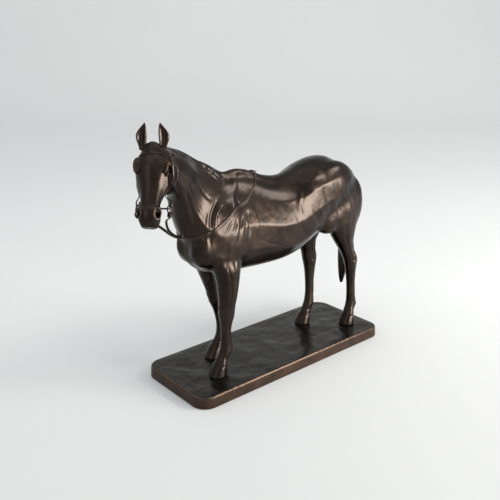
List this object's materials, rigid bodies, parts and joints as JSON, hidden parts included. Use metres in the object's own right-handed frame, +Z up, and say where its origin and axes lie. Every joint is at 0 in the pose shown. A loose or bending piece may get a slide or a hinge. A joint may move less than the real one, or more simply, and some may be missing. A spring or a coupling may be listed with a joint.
{
  "type": "bronze horse statue",
  "caption": "Bridled bronze horse standing on a low rectangular plinth with rounded corners, head turned to its left, reins over the withers.",
  "frame": {"origin": "bottom centre of the whole statue's bounding box, on the surface that the plinth stands on", "axes": "+X towards the tail, so the horse faces -X; -Y is the horse's near (left) side; +Z up"},
  "size_m": [0.3514, 0.1164, 0.3153],
  "materials": {
    "brown_patina": "dark brown waxed bronze patina, semi-gloss",
    "plinth_patina": "red-brown bronze patina with a rubbed lip",
    "strap_patina": "dark brown bronze strip and wire",
    "fixing_brass": "plain turned brass"
  },
  "bodies": {
    "root": {"base_plinth": "plinth_patina", "torso": "brown_patina", "neck_and_head": "brown_patina", "foreleg_near": "brown_patina", "foreleg_off": "brown_patina", "hindleg_near": "brown_patina", "hindleg_off": "brown_patina", "tail": "brown_patina", "bit_mouthpiece": "strap_patina", "bit_ring_near": "strap_patina", "bit_ring_off": "strap_patina", "bridle_browband": "strap_patina", "bridle_cheekpiece_near": "strap_patina", "bridle_cheekpiece_off": "strap_patina", "bridle_crownpiece": "strap_patina", "rein_near": "strap_patina", "rein_off": "strap_patina", "rein_buckle": "strap_patina", "foreleg_pin_near": "fixing_brass", "foreleg_pin_off": "fixing_brass", "hindleg_pin_near": "fixing_brass", "hindleg_pin_off": "fixing_brass", "neck_pin_near": "fixing_brass", "neck_pin_off": "fixing_brass", "tail_pin": "fixing_brass", "hoof_stud_fore_near": "fixing_brass", "hoof_stud_fore_off": "fixing_brass", "hoof_stud_hind_near": "fixing_brass", "hoof_stud_hind_off": "fixing_brass", "hoof_washer_fore_near": "fixing_brass", "hoof_washer_fore_off": "fixing_brass", "hoof_washer_hind_near": "fixing_brass", "hoof_washer_hind_off": "fixing_brass", "hoof_nut_fore_near": "fixing_brass", "hoof_nut_fore_off": "fixing_brass", "hoof_nut_hind_near": "fixing_brass", "hoof_nut_hind_off": "fixing_brass"}
  },
  "joints": []
}
